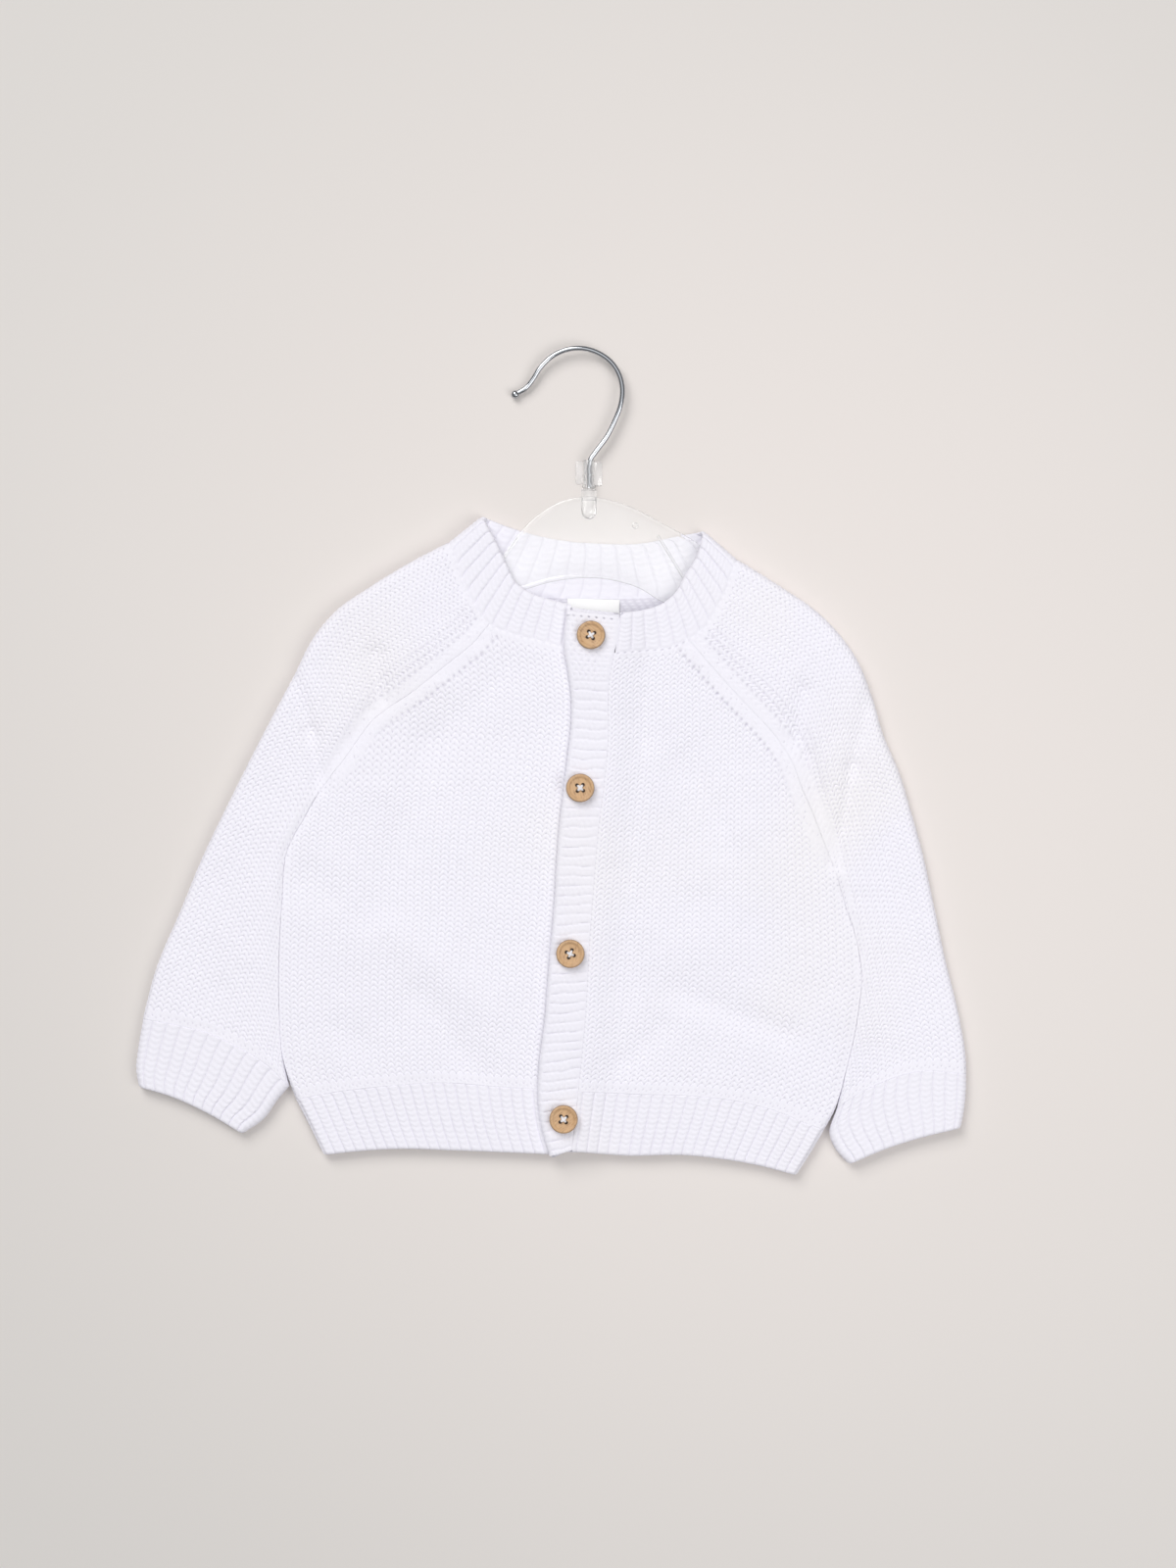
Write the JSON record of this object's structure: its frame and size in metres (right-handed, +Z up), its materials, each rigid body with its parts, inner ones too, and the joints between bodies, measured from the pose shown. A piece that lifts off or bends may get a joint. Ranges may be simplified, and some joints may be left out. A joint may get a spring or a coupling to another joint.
{
  "type": "baby cardigan on hanger",
  "caption": "Knitted raglan baby cardigan with ribbed edges and a buttoned front, lying flat with a clear child's hanger in its neck.",
  "frame": {"origin": "centre of the bounding box in plan, on the plane that the garment lies on", "axes": "+Z up from the surface, through the cloth's thickness; +Y from the hem to the neck and hook; +X towards the wearer's left sleeve"},
  "size_m": [0.3802, 0.3798, 0.0142],
  "materials": {
    "knit": "white cotton stockinette",
    "rib": "white cotton one by one rib",
    "button": "turned, satin",
    "label": "plain woven satin",
    "clear": "clear moulded plastic",
    "wire": "bright plated"
  },
  "bodies": {
    "root": {"back": "knit", "front_right": "knit", "front_left": "knit", "sleeve_right": "knit", "sleeve_left": "knit", "cuff_right": "rib", "cuff_left": "rib", "hem_front_right": "rib", "hem_front_left": "rib", "hem_back": "rib", "neckband": "rib", "buttonhole_band": "rib", "button_band": "rib", "button_1": "button", "button_2": "button", "button_3": "button", "button_4": "button", "label": "label", "hanger": "clear", "size_clip": "clear", "hook": "wire"}
  },
  "joints": []
}
